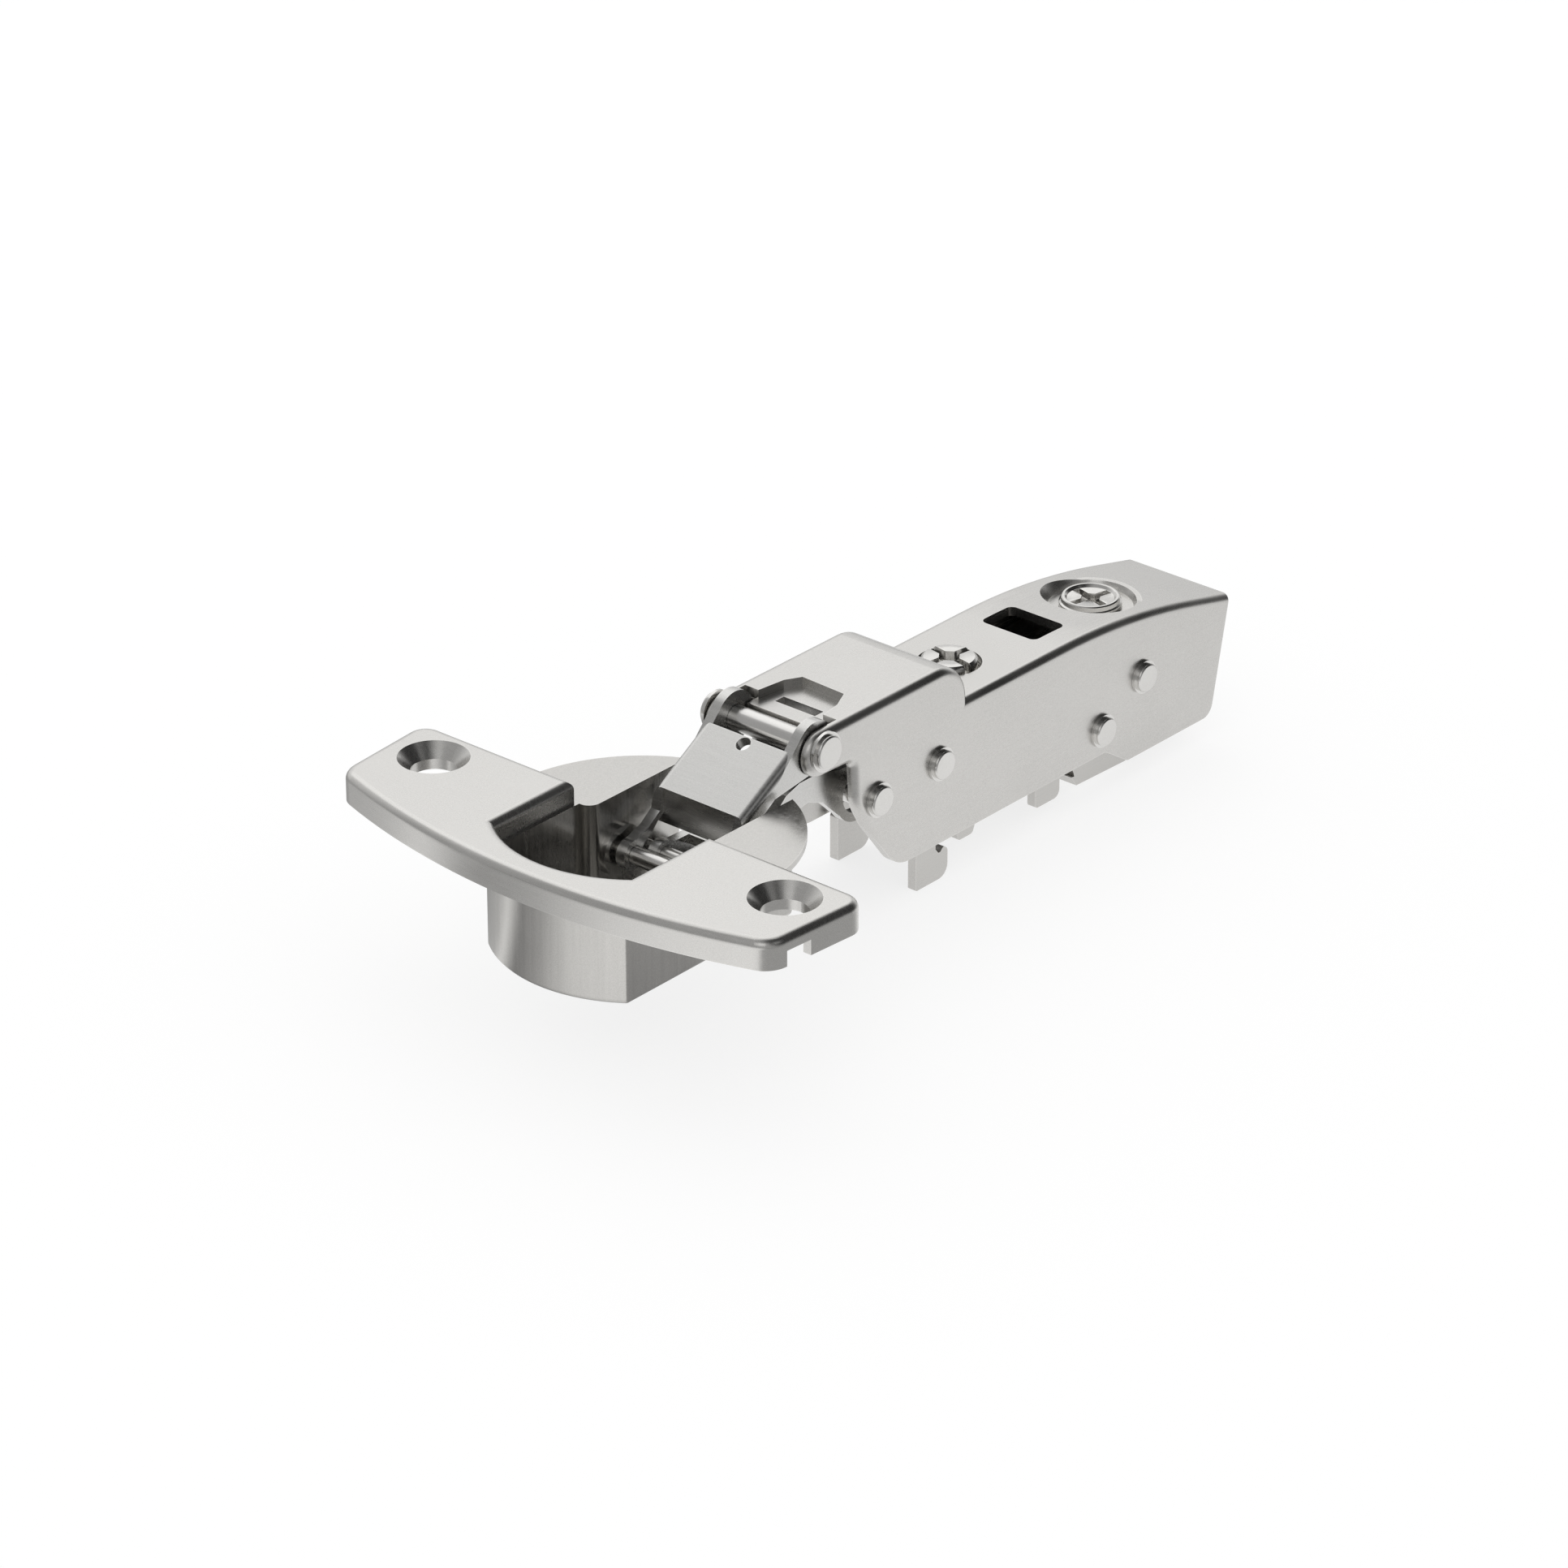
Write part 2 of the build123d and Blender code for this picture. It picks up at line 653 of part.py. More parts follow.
# Mounting rail: channel inside the arm with hook tabs below
with BuildPart() as rail:
    side_plates(side_face(rail_side), rail_half, rail_inner_half)
    web = [
        (rail_front_x, rail_top), (rail_web_end_x, rail_top),
        (rail_web_end_x, rail_top - rail_sheet), (rail_front_x, rail_top - rail_sheet),
    ]
    across(side_face(web), rail_half)
    for pivot in (guide_upper_pivot, guide_lower_pivot):
        with BuildSketch(Plane.XZ):
            with Locations(pivot):
                SlotCenterToCenter(2 * (depth_travel + slide_gap), 2 * (rivet_radius + slide_gap))
        extrude(amount=rail_half, both=True, mode=Mode.SUBTRACT)
    neck_half = overlay_neck_radius + slide_gap
    with BuildSketch(Plane.XY.offset(rail_top)):
        with Locations((overlay_x + depth_travel, 0)):
            Circle(neck_half)
        with Locations(((rail_front_x + overlay_x + depth_travel) / 2, 0)):
            Rectangle(overlay_x + depth_travel - rail_front_x, 2 * neck_half)
        stud_half = cam_stud_radius + slide_gap
        with Locations((cam_x, slide_gap - cam_throw)):
            SlotCenterToCenter(cam_throw / 2, 2 * stud_half, rotation=90)
    extrude(amount=-rail_sheet, mode=Mode.SUBTRACT)
    bore(catch_pivot, catch_pin_radius + seat_fit, rail_half)
save(rail, "rail")

# Catch lever: side plates on the catch pin, joined by a tray in front and a finger pad behind
with BuildPart() as catch_lever:
    boss = [(*catch_pivot, catch_boss_radius)]
    side_plates(side_face(catch_side, boss), catch_half, catch_inner_half)
    across(side_face(catch_tray), catch_half)
    across(side_face(catch_pad), catch_half)
    bore(catch_pivot, catch_pin_radius + run_fit, catch_half)
save(catch_lever, "catch_lever")
save(cross_pin(catch_pivot, catch_pin_radius, rail_half), "catch_pin")


def leaf(front, pivot, wrap_radius, bend_z, foot, half):
    # Strip spring: a leg, a quarter wrap round a pin and a second leg.
    wrap_x = pivot[0] + wrap_radius
    with BuildSketch(Plane.XZ) as strip:
        with BuildLine() as path:
            Polyline(*front, (wrap_x, bend_z), (wrap_x, pivot[1]))
            CenterArc(pivot, wrap_radius, 0, -90)
            Line(path.edges()[-1] @ 1, foot)
        trace(line_width=spring_sheet)
    with BuildPart() as spring:
        across(strip.sketch, half)
    return spring


closing_wrap = rivet_radius + seat_fit + spring_sheet / 2
closing_spring = leaf(
    closing_front, spring_pivot, closing_wrap, closing_bend_z, closing_foot, spring_half
)
save(closing_spring, "closing_spring")

catch_wrap = catch_pin_radius + seat_fit + spring_sheet / 2
catch_leg_z = rail_top - rail_sheet - seat_fit - spring_sheet / 2
catch_front = [(catch_front_x, catch_leg_z), (catch_knee_x, catch_leg_z)]
catch_spring = leaf(
    catch_front, catch_pivot, catch_wrap, catch_bend_z, catch_foot, catch_spring_half
)
save(catch_spring, "catch_spring")
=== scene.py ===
import bmesh
import bpy
import math
from mathutils import Matrix, Quaternion, Vector


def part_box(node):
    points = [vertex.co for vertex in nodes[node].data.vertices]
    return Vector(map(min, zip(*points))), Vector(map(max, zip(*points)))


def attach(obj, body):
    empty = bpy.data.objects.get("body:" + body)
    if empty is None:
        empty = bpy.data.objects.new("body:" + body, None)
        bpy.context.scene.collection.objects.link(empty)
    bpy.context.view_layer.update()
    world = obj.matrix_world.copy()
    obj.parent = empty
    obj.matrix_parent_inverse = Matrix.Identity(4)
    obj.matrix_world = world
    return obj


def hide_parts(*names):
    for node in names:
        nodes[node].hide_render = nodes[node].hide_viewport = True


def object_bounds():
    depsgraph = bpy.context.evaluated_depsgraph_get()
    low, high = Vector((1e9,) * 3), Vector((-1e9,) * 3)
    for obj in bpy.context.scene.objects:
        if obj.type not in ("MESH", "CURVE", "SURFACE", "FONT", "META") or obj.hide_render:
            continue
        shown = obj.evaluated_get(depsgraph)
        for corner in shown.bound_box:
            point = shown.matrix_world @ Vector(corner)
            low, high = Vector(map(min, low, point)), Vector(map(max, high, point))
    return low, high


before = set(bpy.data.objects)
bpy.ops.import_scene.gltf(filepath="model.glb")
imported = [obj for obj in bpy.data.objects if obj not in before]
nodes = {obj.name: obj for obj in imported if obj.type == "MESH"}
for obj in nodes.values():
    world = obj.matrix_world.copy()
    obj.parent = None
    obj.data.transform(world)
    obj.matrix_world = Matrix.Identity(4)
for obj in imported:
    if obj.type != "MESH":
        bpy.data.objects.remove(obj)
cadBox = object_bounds()
print("frame loaded:", len(nodes), "nodes")


# a material with one principled shader, ready for links
def newMaterial(name):
    mat = bpy.data.materials.new(name)
    mat.use_nodes = True
    tree = mat.node_tree
    tree.nodes.clear()
    out = tree.nodes.new("ShaderNodeOutputMaterial")
    shader = tree.nodes.new("ShaderNodeBsdfPrincipled")
    tree.links.new(shader.outputs[0], out.inputs["Surface"])
    return mat, tree, shader


def addNode(tree, kind, values=None, **settings):
    node = tree.nodes.new(kind)
    for key, value in settings.items():
        setattr(node, key, value)
    for key, value in (values or {}).items():
        node.inputs[key].default_value = value
    return node


def stretchedNoise(tree, coords, stretch, scale, detail):
    # noise pulled out along one or more axes, like rolling or drawing marks
    mapping = addNode(tree, "ShaderNodeMapping")
    mapping.inputs["Scale"].default_value = stretch
    tree.links.new(coords, mapping.inputs["Vector"])
    noise = addNode(tree, "ShaderNodeTexNoise", {"Scale": scale, "Detail": detail, "Roughness": 0.6})
    tree.links.new(mapping.outputs[0], noise.inputs["Vector"])
    return noise.outputs["Fac"]


def remap(tree, value, low, high, outLow, outHigh):
    node = addNode(tree, "ShaderNodeMapRange")
    node.inputs["From Min"].default_value = low
    node.inputs["From Max"].default_value = high
    node.inputs["To Min"].default_value = outLow
    node.inputs["To Max"].default_value = outHigh
    tree.links.new(value, node.inputs["Value"])
    return node.outputs["Result"]


def combine(tree, operation, first, second):
    # first and second are numbers or sockets
    node = addNode(tree, "ShaderNodeMath", operation=operation)
    for slot, value in enumerate((first, second)):
        if isinstance(value, (int, float)):
            node.inputs[slot].default_value = value
        else:
            tree.links.new(value, node.inputs[slot])
    return node.outputs[0]


def dotWith(tree, vector, direction):
    node = addNode(tree, "ShaderNodeVectorMath", {1: direction}, operation="DOT_PRODUCT")
    tree.links.new(vector, node.inputs[0])
    return node.outputs["Value"]


def colorRamp(tree, value, stops):
    # stops are (place, (red, green, blue)) in rising order
    ramp = addNode(tree, "ShaderNodeValToRGB")
    elements = ramp.color_ramp.elements
    elements.remove(elements[-1])
    elements[0].position = stops[0][0]
    elements[0].color = (*stops[0][1], 1)
    for place, color in stops[1:]:
        elements.new(place).color = (*color, 1)
    tree.links.new(value, ramp.inputs["Fac"])
    return ramp.outputs["Color"]


# the middle range of a noise, where most of its values lie
noiseLow, noiseHigh = 0.3, 0.7


def spread(tree, noise, low, high):
    # the noise's middle range, drawn out from low to high
    return remap(tree, noise, noiseLow, noiseHigh, low, high)


# cosine between the rounded and the true normal, on flat metal and on a rounded edge
flatCosine, roundedCosine = 0.99, 0.90


def edgeMask(tree, radius):
    # 1 on rounded edges, 0 on flat metal; it drives a painted highlight and a lower roughness there
    bevel = addNode(tree, "ShaderNodeBevel", {"Radius": radius}, samples=6)
    geometry = addNode(tree, "ShaderNodeNewGeometry")
    dot = addNode(tree, "ShaderNodeVectorMath", operation="DOT_PRODUCT")
    tree.links.new(bevel.outputs[0], dot.inputs[0])
    tree.links.new(geometry.outputs["Normal"], dot.inputs[1])
    return remap(tree, dot.outputs["Value"], flatCosine, roundedCosine, 0.0, 1.0)


def metal(look):
    # plated sheet or turned steel: grain, smudges, rolling marks, and a painted highlight that lightens
    # the edges
    mat, tree, shader = newMaterial(look["name"])
    coords = addNode(tree, "ShaderNodeTexCoord").outputs["Object"]
    grain = stretchedNoise(tree, coords, (1, 1, 1), look["grainScale"], look["grainDetail"])
    marks = stretchedNoise(tree, coords, look["markStretch"], look["markScale"], look["markDetail"])
    smudge = stretchedNoise(tree, coords, (1, 1, 1), look["smudgeScale"], look["smudgeDetail"])
    edge = edgeMask(tree, look["edgeRadius"])

    tone = spread(tree, marks, -look["markTone"], look["markTone"])
    tone = combine(tree, "ADD", tone, spread(tree, smudge, -look["smudgeTone"], look["smudgeTone"]))
    tone = combine(tree, "ADD", tone, spread(tree, grain, -look["grainTone"], look["grainTone"]))
    # painted highlight: the colour is lighter along rounded edges
    tone = combine(tree, "ADD", tone, combine(tree, "MULTIPLY", edge, look["edgeHighlightTone"]))
    tone = remap(tree, tone, -0.5, 0.5, 0.0, 1.0)
    dark = [part * look["darkShare"] for part in look["color"]]
    light = [min(part * look["lightShare"], 1) for part in look["color"]]
    color = colorRamp(tree, tone, [(0.0, dark), (0.5, look["color"]), (1.0, light)])
    tree.links.new(color, shader.inputs["Base Color"])

    rough = spread(tree, smudge, look["roughness"] - look["smudgePolish"],
                   look["roughness"] + look["smudgeDull"])
    rough = combine(tree, "ADD", rough, spread(tree, marks, -look["markRough"], look["markRough"]))
    rough = combine(tree, "SUBTRACT", rough, combine(tree, "MULTIPLY", edge, look["edgePolish"]))
    tree.links.new(rough, shader.inputs["Roughness"])

    height = combine(tree, "ADD", combine(tree, "MULTIPLY", grain, look["grainHeight"]),
                     combine(tree, "MULTIPLY", marks, look["markHeight"]))
    bump = addNode(tree, "ShaderNodeBump", {"Strength": look["bump"], "Distance": look["bumpDepth"]})
    tree.links.new(height, bump.inputs["Height"])
    tree.links.new(bump.outputs[0], shader.inputs["Normal"])
    shader.inputs["Metallic"].default_value = 1.0
    return mat


# one dictionary per finish; the others change only a few values of the first
platedSheet = {
    "name": "platedSheet", "color": (0.63, 0.62, 0.60), "roughness": 0.27,
    "grainScale": 8000, "grainDetail": 3, "grainTone": 0.07, "grainHeight": 0.3,
    "markStretch": (0.05, 1, 1), "markScale": 2600, "markDetail": 4, "markTone": 0.02,
    "markHeight": 0.3, "markRough": 0.03,
    "smudgeScale": 90, "smudgeDetail": 2, "smudgeTone": 0.03, "smudgePolish": 0.03,
    "smudgeDull": 0.04, "darkShare": 0.5, "lightShare": 1.5,
    "edgeRadius": 0.00025, "edgeHighlightTone": 0.12, "edgePolish": 0.06,
    "bump": 0.1, "bumpDepth": 0.00004,
}
platedPlate = dict(platedSheet, name="platedPlate", color=(0.64, 0.63, 0.61),
                   markStretch=(1, 0.05, 1))
platedLink = dict(platedSheet, name="platedLink", color=(0.62, 0.615, 0.60),
                  markStretch=(1, 0.08, 1), markTone=0.05, markHeight=0.6, roughness=0.25)
drawnCup = dict(platedSheet, name="drawnCup", color=(0.55, 0.54, 0.52), markStretch=(1, 1, 0.04),
                markScale=1500, markTone=0.05, markRough=0.05, markHeight=0.5, roughness=0.22)
platedRail = dict(platedSheet, name="platedRail", color=(0.58, 0.57, 0.55), roughness=0.3)
brightPin = dict(platedSheet, name="brightPin", color=(0.70, 0.69, 0.67), roughness=0.18,
                 markStretch=(1, 0.06, 1), grainTone=0.04, edgeHighlightTone=0.1)
brightScrew = dict(platedSheet, name="brightScrew", color=(0.66, 0.65, 0.63), roughness=0.18,
                   grainTone=0.05)
springSteel = dict(platedSheet, name="springSteel", color=(0.36, 0.36, 0.36), roughness=0.3)

# nodes that aren't named here are pins and rivets, with the finish brightPin
finishes = {
    "cup_pot": drawnCup, "cup_plate": platedPlate, "outer_link": platedLink, "inner_link": platedLink,
    "arm": platedSheet, "rail": platedRail, "catch_lever": platedRail, "overlay_screw": brightScrew,
    "depth_cam": brightScrew, "cam_washer": brightScrew, "closing_spring": springSteel,
    "catch_spring": springSteel,
}
made = {}
for name, node in nodes.items():
    look = finishes.get(name, brightPin)
    if look["name"] not in made:
        made[look["name"]] = metal(look)
    node.data.materials.clear()
    node.data.materials.append(made[look["name"]])
print("finishes given:", ", ".join(sorted(made)))

# the two adjusting screws, built in millimetres about their own axis and then scaled down
overlayHead = {
    "node": "overlay_screw", "body": "overlay_screw", "finish": "brightScrew",
    "slot": "screw_steel",
    # outline as (radius, height), from the top centre down to the foot
    "profile": [(0.0, 2.45), (3.0, 2.45), (3.3, 2.15), (3.35, 0.95), (3.8, 0.8), (3.8, -1.4),
                (3.6, -1.6), (1.9, -1.6), (1.9, -4.2), (2.8, -4.2), (3.0, -4.4), (3.0, -5.2),
                (2.8, -5.4), (0.0, -5.4)],
    "slotWidth": 0.95, "slotReach": 4.5, "slotFloor": 1.0, "starRadius": 1.3, "starFloor": 0.45,
    "turn": -9.0, "edge": 0.07,
}
camHead = {
    "node": "depth_cam", "body": "depth_cam", "finish": "brightScrew",
    "slot": "screw_steel",
    "profile": [(0.0, 0.42), (2.8, 0.42), (2.95, 0.62), (3.1, 0.75), (3.35, 0.75), (3.5, 0.62),
                (3.5, 0.12), (3.75, 0.02), (3.75, -0.5), (2.6, -0.5), (2.6, -2.45), (0.0, -2.45)],
    "slotWidth": 0.95, "slotReach": 2.75, "slotFloor": -0.45, "starRadius": 1.2,
    "starFloor": -0.75, "turn": -14.0, "edge": 0.06,
    "stud": {"radius": 1.4, "throw": -2.1, "top": -2.2, "bottom": -3.65, "chamfer": 0.2, "steps": 32},
}
# what both heads share: how far the slots widen at the centre, and how edges are softened
headCuts = {
    "top": 5.0, "flare": 0.7, "flareLength": 1.4, "flareWidth": 0.8, "starSides": 8,
    "roundSteps": 96, "bevelSteps": 2, "bevelFrom": 28, "sharpFrom": 35, "levelFrom": 0.995,
    "wideWall": 0.35,
}
millimetre = 0.001


def latheMesh(name, profile, steps):
    # closed body of revolution about Z
    bm = bmesh.new()
    rings = []
    for radius, height in profile:
        if radius == 0:
            rings.append([bm.verts.new((0, 0, height))])
            continue
        angles = [2 * math.pi * step / steps for step in range(steps)]
        rings.append([bm.verts.new((radius * math.cos(a), radius * math.sin(a), height)) for a in angles])
    for upper, lower in zip(rings, rings[1:]):
        for step in range(steps):
            after = (step + 1) % steps
            corners = [upper[step % len(upper)], lower[step % len(lower)],
                       lower[after % len(lower)], upper[after % len(upper)]]
            unique = list(dict.fromkeys(corners))
            if len(unique) > 2:
                bm.faces.new(unique)
    bmesh.ops.recalc_face_normals(bm, faces=bm.faces)
    mesh = bpy.data.meshes.new(name)
    bm.to_mesh(mesh)
    bm.free()
    return mesh


def prismMesh(name, corners, bottom, top):
    # upright prism over a polygon
    bm = bmesh.new()
    low = [bm.verts.new((x, y, bottom)) for x, y in corners]
    high = [bm.verts.new((x, y, top)) for x, y in corners]
    bm.faces.new(low[::-1])
    bm.faces.new(high)
    for index in range(len(corners)):
        after = (index + 1) % len(corners)
        bm.faces.new((low[index], low[after], high[after], high[index]))
    mesh = bpy.data.meshes.new(name)
    bm.to_mesh(mesh)
    bm.free()
    return mesh


def asObject(mesh):
    item = bpy.data.objects.new(mesh.name, mesh)
    bpy.context.scene.collection.objects.link(item)
    return item


def ringCorners(radius, count, turn):
    angles = [math.radians(turn) + 2 * math.pi * step / count for step in range(count)]
    return [(radius * math.cos(angle), radius * math.sin(angle)) for angle in angles]


def slotCorners(look, quarter):
    # one arm of the cross, wider near the centre
    angle = math.radians(look["turn"] + 90 * quarter)
    along = Vector((math.cos(angle), math.sin(angle)))
    across = Vector((-math.sin(angle), math.cos(angle)))
    half = look["slotWidth"] / 2
    flare = look["starRadius"] * headCuts["flare"]
    length = flare * headCuts["flareLength"]
    width = flare * headCuts["flareWidth"]
    reach = look["slotReach"]
    corners = [across * -half + along * reach, across * half + along * reach,
               across * half + along * length, across * width, across * -width,
               across * -half + along * length]
    return [tuple(corner) for corner in corners]


def buildHead(look):
    name = look["node"] + "_head"
    body = asObject(latheMesh(name, look["profile"], headCuts["roundSteps"]))
    cutters = [prismMesh("slot", slotCorners(look, quarter), look["slotFloor"], headCuts["top"])
               for quarter in range(4)]
    sides = headCuts["starSides"]
    star = ringCorners(look["starRadius"], sides, look["turn"] + 180 / sides)
    cutters.append(prismMesh("star", star, look["starFloor"], headCuts["top"]))
    for mesh in cutters:
        carve = body.modifiers.new("carve", "BOOLEAN")
        carve.operation = "DIFFERENCE"
        carve.solver = "EXACT"
        carve.object = asObject(mesh)
    bevel = body.modifiers.new("softEdges", "BEVEL")
    bevel.width = look["edge"]
    bevel.segments = headCuts["bevelSteps"]
    bevel.limit_method = "ANGLE"
    bevel.angle_limit = math.radians(headCuts["bevelFrom"])
    body.data = appliedMesh(body)
    lower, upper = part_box(look["node"])
    centre = ((lower[0] + upper[0]) / 2, (lower[1] + upper[1]) / 2, 0)
    if "stud" in look:
        addStud(body.data, look["stud"])
        centre = (centre[0], 0, 0)  # the stud makes the box wider on one side
    body.data.transform(Matrix.Translation(centre) @ Matrix.Scale(millimetre, 4))
    body.data.materials.append(made[look["finish"]])
    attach(body, look["body"])
    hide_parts(look["node"])


def appliedMesh(item):
    # mesh with its modifiers applied, then the modifiers and their cutters go
    graph = bpy.context.evaluated_depsgraph_get()
    mesh = bpy.data.meshes.new_from_object(item.evaluated_get(graph))
    for modifier in list(item.modifiers):
        if modifier.type == "BOOLEAN":
            bpy.data.objects.remove(modifier.object)
    item.modifiers.clear()
    # level faces and wide walls stay flat, so that the bevels don't round their shading
    for polygon in mesh.polygons:
        level = abs(polygon.normal.z) >= headCuts["levelFrom"]
        polygon.use_smooth = not level and polygon.area < headCuts["wideWall"]
    mesh.set_sharp_from_angle(angle=math.radians(headCuts["sharpFrom"]))
    return mesh


def addStud(mesh, stud):
    # off-centre stud under the cam
    radius, chamfer = stud["radius"], stud["chamfer"]
    profile = [(0.0, stud["top"]), (radius, stud["top"]), (radius, stud["bottom"] + chamfer),
               (radius - chamfer, stud["bottom"]), (0.0, stud["bottom"])]
    part = latheMesh("studPart", profile, stud["steps"])
    part.transform(Matrix.Translation((0, stud["throw"], 0)))
    bm = bmesh.new()
    bm.from_mesh(mesh)
    bm.from_mesh(part)
    bm.to_mesh(mesh)
    bm.free()


for look in (overlayHead, camHead):
    buildHead(look)
print("adjusting screws built")

# studio: white to the camera, while metal mirrors a sky and floor with bright and dark parts;
# the floor is seen a little over 1, because the lit floor mixed into it is darker than white
floorLook = {
    "size": 6.0, "tone": 0.84, "roughness": 0.7, "gloss": 0.2, "shadowShare": 0.3, "seen": 1.12,
    "inMetal": 1.32, "farInMetal": 0.3, "nearReach": 0.06, "farReach": 0.45,
    "front": (-0.757, -0.653, 0.0), "right": (0.653, -0.757, 0.0),
    # (place, brightness) of the mirrored floor from behind the object, round its left, to its front
    "leftBands": [(0.2, 0.2), (0.4, 0.5), (0.46, 1.0), (0.56, 0.1), (0.7, 0.35), (0.83, 0.8),
                  (0.97, 1.0)],
    # and round its right
    "rightFrom": 0.38, "rightTo": 0.6, "rightBehind": 0.84, "rightFront": 0.25,
    "sideBlend": 0.1,
}
skyLook = {
    "light": 0.75, "seen": 1.0, "plainInMetal": 0.4, "brightInMetal": 0.84,
    "brightFrom": (0.62, 0.74, 0.25), "brightStart": 0.35, "brightFull": 0.8,
    "flagFrom": (0.45, -0.55, 0.7), "flagStart": 0.5, "flagFull": 0.82, "flagShare": 0.06,
}
lampAim = (0.038, 0.0, 0.0)
lamps = [
    {"name": "softTop", "place": (0.35, 0.45, 0.75), "size": 1.0, "power": 1.25},
    {"name": "softFront", "place": (-0.75, -0.35, 0.65), "size": 0.6, "power": 0.6},
    {"name": "softSide", "place": (0.1, -0.9, 0.75), "size": 0.5, "power": 0.2},
]


def floorBands(tree, place):
    # painted reflection: dull and bright bands on the floor, seen only in metal, as if flags stood round
    # the object
    aside = addNode(tree, "ShaderNodeVectorMath", operation="NORMALIZE")
    tree.links.new(place, aside.inputs[0])
    direction = aside.outputs["Vector"]
    front = remap(tree, dotWith(tree, direction, floorLook["front"]), -1.0, 1.0, 0.0, 1.0)
    left = colorRamp(tree, front, [(stop, (tone,) * 3) for stop, tone in floorLook["leftBands"]])
    right = remap(tree, front, floorLook["rightFrom"], floorLook["rightTo"],
                  floorLook["rightBehind"], floorLook["rightFront"])
    blend = floorLook["sideBlend"]
    side = remap(tree, dotWith(tree, direction, floorLook["right"]), -blend, blend, 0.0, 1.0)
    left = combine(tree, "MULTIPLY", left, combine(tree, "SUBTRACT", 1.0, side))
    return combine(tree, "ADD", left, combine(tree, "MULTIPLY", right, side))


def mirroredRay(tree, path):
    return combine(tree, "MAXIMUM", path.outputs["Is Glossy Ray"], path.outputs["Is Transmission Ray"])


def buildFloor():
    half = floorLook["size"] / 2
    level = cadBox[0].z
    mesh = bpy.data.meshes.new("studioFloor")
    corners = [(-half, -half, level), (half, -half, level), (half, half, level), (-half, half, level)]
    mesh.from_pydata(corners, [], [(0, 1, 2, 3)])
    floor = asObject(mesh)
    mat, tree, shader = newMaterial("paleFloor")
    shader.inputs["Base Color"].default_value = (*(floorLook["tone"],) * 3, 1)
    shader.inputs["Roughness"].default_value = floorLook["roughness"]
    shader.inputs["Specular IOR Level"].default_value = floorLook["gloss"]
    path = addNode(tree, "ShaderNodeLightPath")
    camera = path.outputs["Is Camera Ray"]
    mirrored = mirroredRay(tree, path)
    # painted reflection: the floor glows for mirror rays, brightest near the object and darker away from
    # it
    place = addNode(tree, "ShaderNodeTexCoord").outputs["Object"]
    length = addNode(tree, "ShaderNodeVectorMath", operation="LENGTH")
    tree.links.new(place, length.inputs[0])
    fade = remap(tree, length.outputs["Value"], floorLook["nearReach"], floorLook["farReach"],
                 floorLook["inMetal"], floorLook["farInMetal"])
    fade = combine(tree, "MULTIPLY", fade, floorBands(tree, place))
    # painted reflection: the mirrored floor's glow is added only for glossy and transmission rays
    strength = combine(tree, "ADD", combine(tree, "MULTIPLY", camera, floorLook["seen"]),
                       combine(tree, "MULTIPLY", mirrored, fade))
    white = addNode(tree, "ShaderNodeEmission")
    tree.links.new(strength, white.inputs["Strength"])
    # the rest of the mix is the lit floor, which keeps the shadow
    direct = combine(tree, "MAXIMUM", camera, mirrored)
    share = combine(tree, "MULTIPLY", direct, 1 - floorLook["shadowShare"])
    mix = addNode(tree, "ShaderNodeMixShader")
    tree.links.new(share, mix.inputs[0])
    tree.links.new(shader.outputs[0], mix.inputs[1])
    tree.links.new(white.outputs[0], mix.inputs[2])
    output = next(n for n in tree.nodes if n.type == "OUTPUT_MATERIAL")
    tree.links.new(mix.outputs[0], output.inputs["Surface"])
    mesh.materials.append(mat)


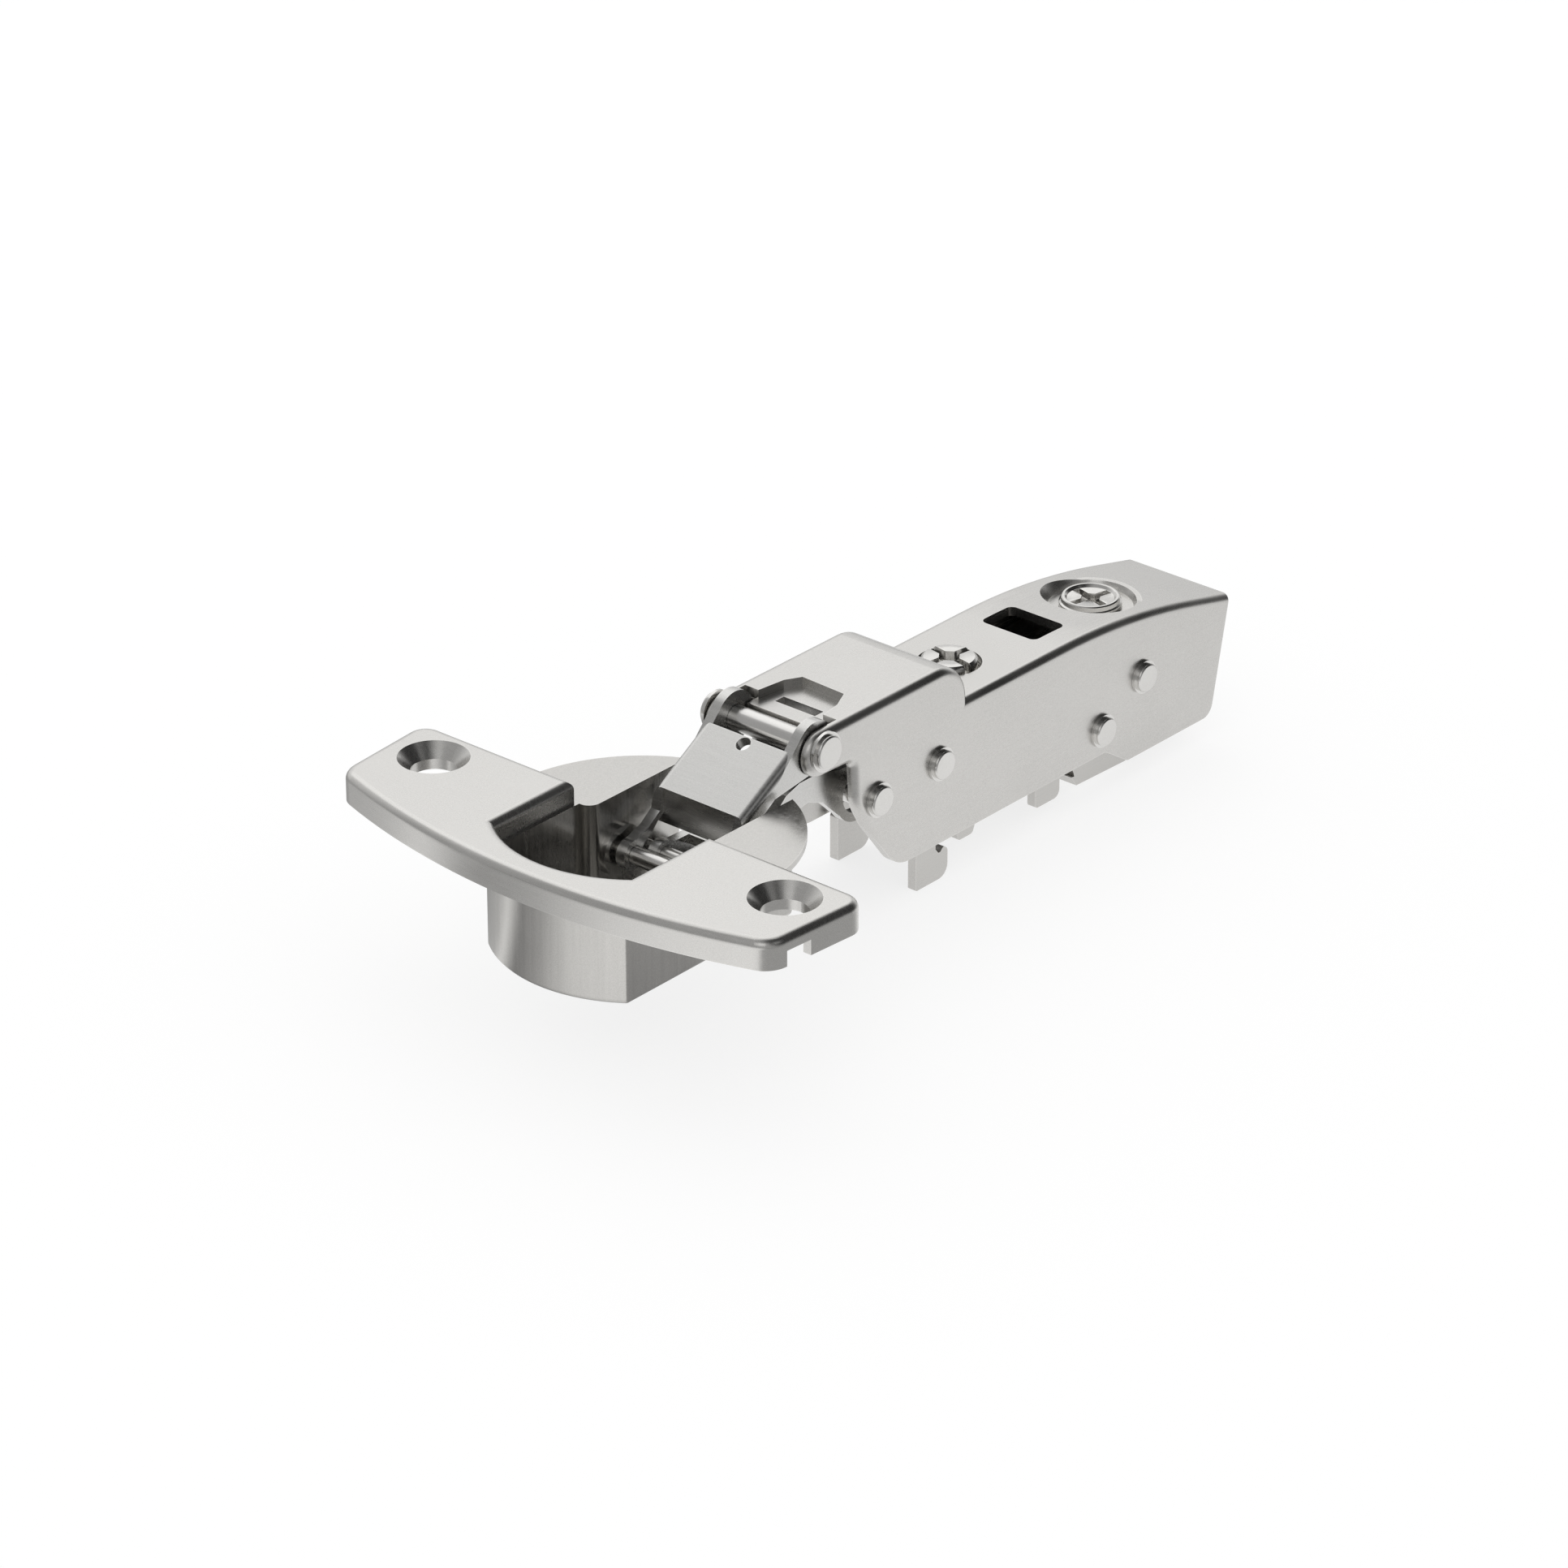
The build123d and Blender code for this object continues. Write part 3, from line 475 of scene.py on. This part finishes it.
def buildWorld():
    world = bpy.data.worlds.new("studioWorld")
    bpy.context.scene.world = world
    world.use_nodes = True
    tree = world.node_tree
    background = next(n for n in tree.nodes if n.type == "BACKGROUND")
    background.inputs["Color"].default_value = (1, 1, 1, 1)
    path = addNode(tree, "ShaderNodeLightPath")
    camera = path.outputs["Is Camera Ray"]
    mirrored = mirroredRay(tree, path)
    # metal sees one broad bright side behind the object, and a dark flag above its right side
    direction = addNode(tree, "ShaderNodeTexCoord").outputs["Generated"]
    sky = remap(tree, dotWith(tree, direction, skyLook["brightFrom"]), skyLook["brightStart"],
                skyLook["brightFull"], skyLook["plainInMetal"], skyLook["brightInMetal"])
    flag = remap(tree, dotWith(tree, direction, skyLook["flagFrom"]), skyLook["flagStart"],
                 skyLook["flagFull"], 1.0, skyLook["flagShare"])
    sky = combine(tree, "MULTIPLY", sky, flag)
    plain = combine(tree, "SUBTRACT", 1.0, combine(tree, "MAXIMUM", camera, mirrored))
    strength = combine(tree, "MULTIPLY", camera, skyLook["seen"])
    strength = combine(tree, "ADD", strength, combine(tree, "MULTIPLY", mirrored, sky))
    strength = combine(tree, "ADD", strength, combine(tree, "MULTIPLY", plain, skyLook["light"]))
    tree.links.new(strength, background.inputs["Strength"])


def buildLamps():
    for lamp in lamps:
        light = bpy.data.lights.new(lamp["name"], "AREA")
        light.shape = "SQUARE"
        light.size = lamp["size"]
        light.energy = lamp["power"]
        holder = bpy.data.objects.new(lamp["name"], light)
        holder.location = lamp["place"]
        toAim = Vector(lampAim) - holder.location
        holder.rotation_euler = toAim.to_track_quat("-Z", "Y").to_euler()
        bpy.context.scene.collection.objects.link(holder)


buildFloor()
buildWorld()
buildLamps()
print("studio built")

# camera at the photograph's angle
photoCamera = {
    "place": (-0.5393, -0.4865, 0.3761), "lens": 169.4, "sensor": 36.0, "nearest": 0.01,
    "azimuth": 49.21, "elevation": 26.97, "roll": -0.13,
}


def buildCamera():
    data = bpy.data.cameras.new("photoCamera")
    data.sensor_width = photoCamera["sensor"]
    data.lens = photoCamera["lens"]
    data.clip_start = photoCamera["nearest"]
    camera = bpy.data.objects.new("photoCamera", data)
    azimuth = math.radians(photoCamera["azimuth"])
    elevation = math.radians(photoCamera["elevation"])
    forward = Vector((math.sin(azimuth) * math.cos(elevation), math.cos(azimuth) * math.cos(elevation),
                      -math.sin(elevation)))
    turn = forward.to_track_quat("-Z", "Y") @ Quaternion((0, 0, 1), math.radians(photoCamera["roll"]))
    camera.rotation_mode = "QUATERNION"
    camera.rotation_quaternion = turn
    camera.location = photoCamera["place"]
    bpy.context.scene.collection.objects.link(camera)
    bpy.context.scene.camera = camera


buildCamera()
bpy.context.scene.view_settings.view_transform = "Standard"
print("camera set")
